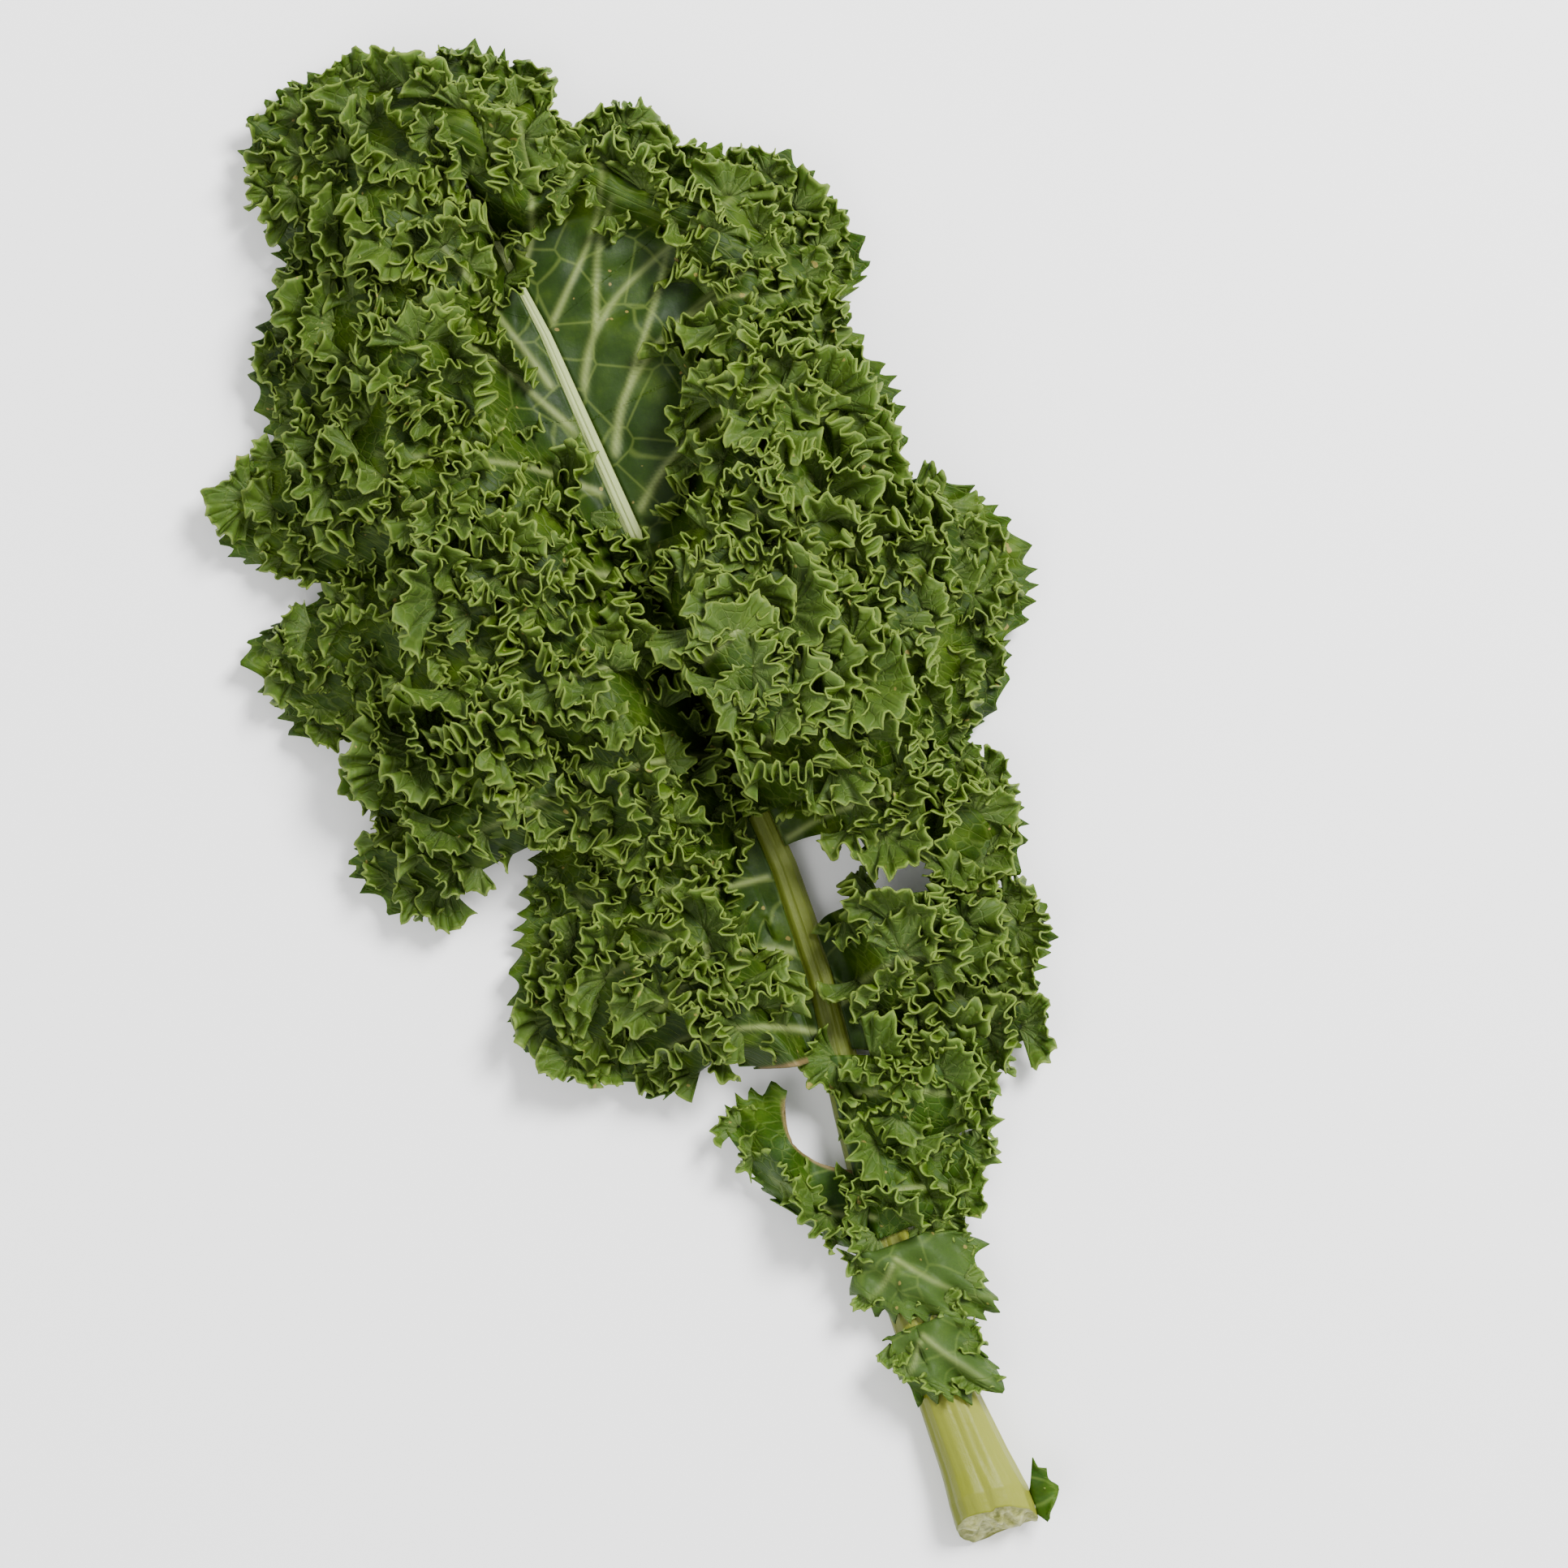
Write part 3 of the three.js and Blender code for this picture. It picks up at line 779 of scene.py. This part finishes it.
def blade_colour(tree, colours, nets, texture, lamina, vein):
    """Patchy green, paler by the rim, partly its own paler margin and partly painted light that leaves the
    fans darker deeper in the folds where shade falls; paler on the veins, with a pale rim and a few spots.
    """
    coarse, fine, bare = nets
    depth = attribute(tree, "depth")
    rim = colours["rim"]
    patches = [(0.30, colours["deep"]), (0.52, colours["mid"]), (0.72, colours["bright"])]
    green = ramp(tree, noise(tree, texture, 90.0, 5.0, 0.6), patches)
    # Paler for 4.5 mm in from the rim: partly the margin's own paler colour, partly painted light, the fans
    # painted darker deeper in the folds where shade falls.
    green = mix_colour(tree, times(tree, band(tree, depth, 0.0, 4.5), 0.6), green, colours["bright"])
    green = mix_colour(tree, times(tree, lamina, 0.45), green, colours["deep"])
    green = mix_colour(tree, times(tree, coarse, 0.16), green, rim)
    green = mix_colour(tree, times(tree, fine, 0.06), green, rim)
    green = mix_colour(tree, times(tree, bare, 0.26), green, rim)
    green = mix_colour(tree, times(tree, vein, 0.8, clamp=True), green, VEIN_COLOUR)
    green = mix_colour(tree, times(tree, attribute(tree, "under"), 0.35), green, UNDERSIDE_COLOUR)
    green = mix_colour(tree, times(tree, band(tree, depth, 0.05, 0.50), 0.55), green, rim)
    spots = band(tree, noise(tree, texture, 420.0, 1.0), 0.22, 0.25)
    green = mix_colour(tree, times(tree, spots, 0.5), green, SPOT_COLOUR)
    return mix_colour(tree, attribute(tree, "dry"), green, DRY_COLOUR)


def blade_material(name, colours):
    material, tree, shader = new_material(name)
    vein = attribute(tree, "vein")
    lamina = attribute(tree, "lamina")
    place = node(tree, "ShaderNodeCombineXYZ")
    link(tree, attribute(tree, "along"), place.inputs["X"])
    link(tree, attribute(tree, "depth"), place.inputs["Y"])
    texture = object_place(tree)
    nets = blade_nets(tree, place.outputs["Vector"], texture, lamina)
    link(tree, blade_colour(tree, colours, nets, texture, lamina, vein), shader.inputs["Base Color"])

    grain = noise(tree, texture, 900.0, 3.0, 0.55)
    vary_roughness(tree, shader, grain, 0.44, 0.68)
    shader.inputs["Subsurface Weight"].default_value = 0.22
    shader.inputs["Subsurface Radius"].default_value = (0.6, 1.0, 0.2)
    shader.inputs["Subsurface Scale"].default_value = 0.0012
    shader.inputs["Specular IOR Level"].default_value = 0.15

    relief = maths(tree, "ADD", times(tree, nets[0], -0.6), times(tree, grain, 0.5))
    relief = maths(tree, "ADD", relief, times(tree, vein, 0.8))
    raise_bumps(tree, shader, relief, 0.55, 0.0004)
    return material


def rib_streaks(tree):
    """Streaks along the rib."""
    place = node(tree, "ShaderNodeCombineXYZ")
    link(tree, times(tree, attribute(tree, "around"), 26.0), place.inputs["X"])
    link(tree, times(tree, attribute(tree, "along"), 0.06), place.inputs["Y"])
    return noise(tree, place.outputs["Vector"], 1.6, 5.0, 0.6)


def rib_colour(tree, streak, pith):
    """Pale yellow-green stalk, greener among the lobes and painted darker there as shade of the frills,
    whitish near the tip, torn at its foot; painted light makes its right side lighter and its left side
    darker.
    """
    along = attribute(tree, "along")
    # Painted light: the stalk is painted darker on its left side and lighter on its right, as if lit from
    # the right.
    stalk = ramp(tree, attribute(tree, "painted_side_light"), [(0.0, STALK_PAINTED_SHADE), (0.45, STALK_MID), (1.0, STALK_PAINTED_LIGHT)])
    stalk = mix_colour(tree, times(tree, streak, 0.35), stalk, STREAK_COLOUR)
    # Among the lobes the rib is painted greener and darker: partly its own green, partly painted shade of
    # the frills around it.
    leafy_and_shaded = times(tree, maths(tree, "SUBTRACT", 1.0, band(tree, along, 30.0, 90.0)), 0.75)
    stalk = mix_colour(tree, leafy_and_shaded, stalk, LEAFY_RIB_GREEN_AND_SHADE)
    upper = ramp(tree, streak, [(0.3, UPPER_RIB_DARK), (0.7, UPPER_RIB_LIGHT)])
    whole = mix_colour(tree, band(tree, along, 180.0, 215.0), upper, stalk)
    inside = ramp(tree, pith, [(0.36, PITH_DARK), (0.5, PITH_MID), (0.66, PITH_LIGHT)])
    return mix_colour(tree, attribute(tree, "torn"), whole, inside)


def rib_material():
    material, tree, shader = new_material("kale_stalk")
    streak = rib_streaks(tree)
    pith = noise(tree, object_place(tree), 420.0, 5.0, 0.7)
    link(tree, rib_colour(tree, streak, pith), shader.inputs["Base Color"])
    vary_roughness(tree, shader, streak, 0.34, 0.58)
    shader.inputs["Specular IOR Level"].default_value = 0.25
    shader.inputs["Subsurface Weight"].default_value = 0.2
    shader.inputs["Subsurface Radius"].default_value = (1.0, 1.0, 0.5)
    shader.inputs["Subsurface Scale"].default_value = 0.002
    raise_bumps(tree, shader, maths(tree, "ADD", streak, pith), 0.5, 0.0003)
    return material


# ---- lobes ----
def torn_edge(lobe, t, v):
    """1 along the dried torn edge of a lobe that has one, 0 elsewhere."""
    if lobe.name not in TORN:
        return np.zeros_like(t)
    width = np.linalg.norm(lobe.plan.at(1 + 0 * v, v) - lobe.plan.at(0 * v, v), axis=-1)
    across = np.abs(t - TORN[lobe.name][0]) * width
    return 0.8 * (1 - ease((across - 0.25) / 0.7)) * ease((0.97 - v) / 0.1)


def add_blade(shell, lobe):
    """The blade, with its veins and blisters raised."""
    grid, flat, t, v = blade_grid(lobe)
    clear = 1 - ease((v - lobe.inner(t)) / 0.12)
    vein = vein_field(flat) * ease(v / 0.04)
    blister = lobe.blister(flat[..., 0], flat[..., 1]) * ease(v / 0.1)
    grid[..., 2] += blister * BLISTER_HEIGHT + vein * VEIN_HEIGHT
    rim = (1 - v) * lobe.plan.reach()
    thickness = BLADE_THICKNESS * (0.75 + 0.5 * ease(rim / 6))
    fields = {"depth": rim + 3, "along": flat.sum(-1), "vein": vein, "lamina": clear,
              "dry": torn_edge(lobe, t, v)}
    shell.add(grid[None], thickness[None], {key: field[None] for key, field in fields.items()},
              (0, 0, 0.3, 1))


def add_fans(shell, lobe, seats, rng, style):
    """Fans standing at the seats, which are shares across and out along the lobe."""
    t, v = np.array(seats).T
    feet = lobe.plan.at(t, v)
    outward = lobe.plan.at(t, v + 0.02) - lobe.plan.at(t, np.maximum(v - 0.02, 0))
    z = lobe.ground(feet[:, 0], feet[:, 1], v, lobe.inner(t)) - 0.6
    fans = Fans(np.column_stack([feet, z]), outward, v, lobe.hump(feet[:, 0], feet[:, 1]), rng, style)
    grid = fans.grid()
    fields = fans.fields(grid.shape[:3])
    shell.add(grid, BLADE_THICKNESS * (0.7 + 0.3 * ease(fields["depth"] / 4)), fields, (0.3, 0, 1, 1))


def grow(lobe, seats, rng, style, material):
    """One lobe as a piece: its blade, and the fans that stand on it."""
    shell = Shell()
    add_blade(shell, lobe)
    add_fans(shell, lobe, seats, rng, style)
    name = "kale_" + lobe.name
    return placed(name, shell.mesh(name), lobe.name, material)


def make_ground(hump):
    """Height of the blade: low by the rib, heaped up under the frills, low at the outline."""
    ys, tops = zip(*FRILL_TOP)

    def ground(x, y, v, inner):
        away = np.abs(x - rib_x(y)) - rib_half(y)
        low = rib_top(y) - 0.4 - 0.055 * np.clip(away, 0, 90) + 1.6 * ease(away / 10)
        low = np.maximum(low, 2.5)
        low = low + 1.7 * ease((-away / rib_half(y) - 0.25) / 0.3)
        heap = np.interp(y, ys, tops) - FAN_RISE + 5.5 * hump(x, y)
        rise = ease((v - inner) / 0.25 + 0.1) * ease((v + 0.03) / 0.13)
        fall = ease((v - 0.5) / 0.5)
        z = low + (heap - low) * rise
        x0, y0, wide, tall = CLUMP
        z = z + tall * np.exp(-((x - x0) ** 2 + (y - y0) ** 2) / (2 * wide ** 2)) * ease(v / 0.06)
        return z + (EDGE_HEIGHT + 1.5 * hump(x + 30, y) - z) * fall
    return ground


def seam_inners():
    """Where the frills start, easing between neighbouring lobes so that their seams meet."""
    own = [lobe[3] for lobe in LOBES]
    feet = [lobe[2] for lobe in LOBES]
    made = []
    for k in range(len(LOBES)):
        before = own[k - 1] if k and feet[k][0] == feet[k - 1][1] else own[k]
        after = own[k + 1] if k + 1 < len(LOBES) and feet[k][1] == feet[k + 1][0] else own[k]
        ends = ((before + own[k]) / 2, own[k], (after + own[k]) / 2)
        made.append(lambda t, ends=ends: np.interp(t, (0, 0.5, 1), ends))
    return made


def build_lobes(materials):
    rng = np.random.default_rng(LOBE_SEED)
    plans = [Plan(foot_on_rib(side, *foot, OVER_RIB_REACH if name in OVER_RIB else FOOT_REACH), outline,
                  waist) for name, side, foot, _, outline, waist in LOBES]
    inners = seam_inners()
    hump = noise_field(rng, HUMP_LENGTH)
    ground = make_ground(hump)
    blister = noise_field(rng, BLISTER_LENGTH)
    all_seats = fan_feet(plans, inners, rng)
    for k, (name, *_) in enumerate(LOBES):
        young = name in YOUNG
        torn, clear = TORN.get(name, (0.0, -1.0))
        seats = [(t, v) for lobe, t, v in all_seats if lobe == k and abs(t - torn) > clear]
        if name in CROSSING:
            seats += [(0.03, v) for v in CROSSING_FANS]
        grow(Lobe(name, plans[k], inners[k], ground, hump, blister), seats, rng,
             YOUNG_STYLE if young else GROWN_STYLE, materials["young_blade" if young else "blade"])


def frilled_edge(t):
    """Frills start well out on the leaflets and the ear."""
    return 0.8 + 0 * t


def build_leaflet(name, root_y, outline, rng, material, blister):
    """A leaflet folded over the stalk, with a row of small fans along its outline."""
    x0 = float(rib_x(root_y))

    def foot(u):
        u = np.asarray(u, float)
        return np.stack([x0 - LEAFLET_FOOT / 2 + LEAFLET_FOOT * u, np.full_like(u, root_y)], -1)

    def ground(x, y, v, inner):
        away = np.abs(x - rib_x(y)) / np.maximum(rib_half(y), 1)
        draped = rib_top(y) + 1.4 - 1.1 * np.clip(away - 0.5, 0, 3)
        return draped + 1.6 * np.sin(3 * v) + 1.1 * np.sin(0.75 * x + 0.5 * y) * v

    plan = Plan(foot, outline)
    t = np.linspace(0.03, 0.97, max(4, int(plan.length / LEAFLET_FAN_PITCH)))
    seats = list(zip(t, rng.uniform(0.78, 0.92, len(t))))
    grow(Lobe(name, plan, frilled_edge, ground, blister, blister), seats, rng, LEAFLET_STYLE, material)


def build_ear(rng, material, blister):
    """The small ear beside the torn end of the stalk."""
    start = float(rib_x(0.0) + rib_half(0.0))

    def foot(u):
        u = np.asarray(u, float)
        return np.stack([np.full_like(u, start + 0.2), EAR_FOOT[0] + (EAR_FOOT[1] - EAR_FOOT[0]) * u], -1)

    def ground(x, y, v, inner):
        return EAR_HEIGHT + 1.2 * v

    lobe = Lobe("basal_ear", Plan(foot, EAR_OUTLINE), frilled_edge, ground, blister, blister)
    grow(lobe, [(0.35, 0.5)], rng, EAR_STYLE, material)


# ---- stalk ----
def stalk_rings(y, a, lumps):
    """Points round the rib: ridged, grooved above, flat below, slanting at the torn foot."""
    half = rib_half(y)
    ridges = 0.020 * np.cos(11 * a + 0.02 * y) + 0.012 * np.cos(23 * a - 0.01 * y)
    near_end = np.exp(-(y + 4) / 6)
    r = half * (1 + ridges + 0.05 * lumps * near_end)
    groove = 0.14 * np.exp(-((a - 0.5 * math.pi) % (2 * math.pi)) ** 2 / 0.06)
    up = np.sin(a) - groove
    on_top = (np.sin(a) > 0) * np.exp(-((np.cos(a) - 0.22) / 0.07) ** 2)
    scar = 0.09 * np.exp(-((y - 15) / 6) ** 2) * on_top
    height = (np.maximum(up - scar, -STALK_FLAT) + STALK_FLAT) * half * 0.95
    slant = np.clip(1 - (y - STALK_FOOT) / TORN_SLANT, 0, 1)
    shift = slant * (4.9 * (up + 0.5) - 1.2 * np.cos(a)).clip(0) * 0.9 + 0.35 * lumps * near_end
    return np.stack([rib_x(y) + np.cos(a) * r, y + shift, rib_floor(y) + height * (1 + 0.6 * ridges)], -1)


def torn_end(first, lump):
    """Rings shrinking to the middle of the foot, lumpy and sunk behind a thin rim."""
    centre = first.mean(0)
    caps = []
    for k in range(1, TORN_RINGS + 1):
        w = k / TORN_RINGS
        cap = first + (centre - first) * w * 0.999
        rough = 1.3 * lump(cap[:, 0] + 50, cap[:, 2] + 50) * min(1, 4 * w)
        cap[:, 1] += 0.5 * math.sin(math.pi * min(1.0, 3 * w)) - 0.9 * w + rough
        caps.append(cap)
    return np.stack(caps[::-1])


def stalk_fields(y, a, tips):
    """Values over the stalk for its material, carried on over the torn end and the tip."""
    # Painted light: one field here runs from 1 on the stalk's right side to 0 on its left, for its painted
    # lit and shaded sides.
    fields = {"along": y, "around": (a / (2 * math.pi)) % 1.0, "painted_side_light": 0.5 + 0.5 * np.cos(a - 0.35),
              "torn": np.zeros_like(y)}
    grown = {}
    for key, values in fields.items():
        before = np.repeat(values[:1], TORN_RINGS, 0)
        if key == "torn":
            before = np.ones_like(before)
            before[-1] = 0.6
        grown[key] = np.concatenate([before, values, np.repeat(values[-1:], tips, 0)])
    return grown


def build_stalk(material):
    """Stalk and midrib, from the torn foot to the tip."""
    rng = np.random.default_rng(STALK_SEED)
    y = np.linspace(STALK_FOOT, STALK_TIP, STALK_RINGS)
    a = np.linspace(0, 2 * math.pi, STALK_COLUMNS, endpoint=False) + 0.5 * math.pi
    y, a = np.meshgrid(y, a, indexing="ij")
    rings = stalk_rings(y, a, noise_field(rng, STALK_LUMPS)(y + 40, (a * 9) % 57))
    tip = rings[-1]
    tip_centre = tip.mean(0) + np.array([0, 0.7, 0])
    ends = np.stack([tip + (tip_centre - tip) * w for w in (0.5, 0.85, 0.999)])
    grid = np.concatenate([torn_end(rings[0], noise_field(rng, TORN_LUMPS)), rings, ends])
    mesh = tube_mesh("kale_stalk", grid)
    write_fields(mesh, stalk_fields(y, a, len(ends)))
    return placed("kale_stalk", mesh, "stalk", material)


def tube_mesh(name, grid):
    """Closed tube through rings of points."""
    rings, around = grid.shape[:2]
    at = np.arange(rings * around).reshape(rings, around)
    after = np.roll(at, -1, 1)
    faces = np.stack([at[:-1], at[1:], after[1:], after[:-1]], -1).reshape(-1, 4)
    caps = [at[0].tolist(), at[-1][::-1].tolist()]
    mesh = bpy.data.meshes.new(name)
    mesh.from_pydata(to_world(grid.reshape(-1, 3)).tolist(), [], faces.tolist() + caps)
    mesh.polygons.foreach_set("use_smooth", np.ones(len(mesh.polygons), dtype=bool))
    layer = mesh.uv_layers.new(name="OFBake")
    layer.data.foreach_set("uv", tube_map(mesh, rings, around, len(faces) * 4).ravel())
    mesh.update()
    return mesh


def tube_map(mesh, rings, around, sides):
    """Map corners of a tube: its sides unrolled, and its two ends as small rounds beside them."""
    vertex = np.zeros(len(mesh.loops), np.int32)
    mesh.loops.foreach_get("vertex_index", vertex)
    column = vertex % around
    corners = np.zeros((len(vertex), 2), np.float32)
    block = column[:sides].reshape(-1, 4)
    wraps = (block.max(1) - block.min(1)) > around / 2
    across = block / around
    across[wraps] = np.where(block[wraps] == 0, 1.0, across[wraps])
    corners[:sides, 0] = 0.01 + 0.95 * across.reshape(-1)
    corners[:sides, 1] = 0.01 + 0.98 * (vertex[:sides] // around) / (rings - 1)
    for k in range(2):
        end = slice(sides + k * around, sides + (k + 1) * around)
        turn = 2 * math.pi * column[end] / around
        corners[end, 0] = 0.985 + 0.008 * np.cos(turn)
        corners[end, 1] = 0.2 + 0.5 * k + 0.008 * np.sin(turn)
    return corners


# ---- assembly ----
def build_leaf():
    grown = blade_material("kale_blade", GROWN_COLOURS)
    young = blade_material("kale_young_blade", YOUNG_COLOURS)
    build_lobes({"blade": grown, "young_blade": young})
    rng = np.random.default_rng(LEAFLET_SEED)
    blister = noise_field(rng, LEAFLET_BLISTER_LENGTH)
    for name, root_y, outline in LEAFLETS:
        build_leaflet(name, root_y, outline, rng, young, blister)
    build_ear(rng, young, blister)
    build_stalk(rib_material())


# ---- stage ----
def build_floor():
    bpy.ops.mesh.primitive_plane_add(size=FLOOR_SIZE, location=(0, 0, CAD_BOUNDS[0][2] - FLOOR_DROP))
    floor = bpy.context.object
    floor.name = "studio_floor"
    material, _, shader = new_material("studio_floor")
    shader.inputs["Base Color"].default_value = (FLOOR_GREY, FLOOR_GREY, FLOOR_GREY, 1)
    shader.inputs["Roughness"].default_value = 0.9
    shader.inputs["Specular IOR Level"].default_value = 0.1
    floor.data.materials.append(material)


def build_lights():
    world = bpy.data.worlds.new("studio")
    bpy.context.scene.world = world
    world.use_nodes = True
    world.node_tree.nodes["Background"].inputs["Color"].default_value = (1, 1, 1, 1)
    world.node_tree.nodes["Background"].inputs["Strength"].default_value = 1.0
    for name, place, size, power in LIGHTS:
        light = bpy.data.lights.new(name, "AREA")
        light.size = size
        light.energy = power
        lamp = bpy.data.objects.new(name, light)
        lamp.location = place
        lamp.rotation_euler = (-Vector(place)).to_track_quat("-Z", "Y").to_euler()
        bpy.context.scene.collection.objects.link(lamp)


def build_camera():
    """Straight above, the leaf leaning to the left of upright."""
    aim = to_world(np.array([CAMERA_AIM]))[0]
    lens = bpy.data.cameras.new("above")
    lens.sensor_width = SENSOR
    lens.lens = SENSOR * CAMERA_DISTANCE / CAMERA_VIEW
    lens.clip_end = 20
    eye = bpy.data.objects.new("above", lens)
    eye.location = (aim[0], aim[1], aim[2] + CAMERA_DISTANCE)
    eye.rotation_euler = (0, 0, -math.radians(CAMERA_LEAN))
    bpy.context.scene.collection.objects.link(eye)
    bpy.context.scene.camera = eye


build_leaf()
build_floor()
build_lights()
build_camera()
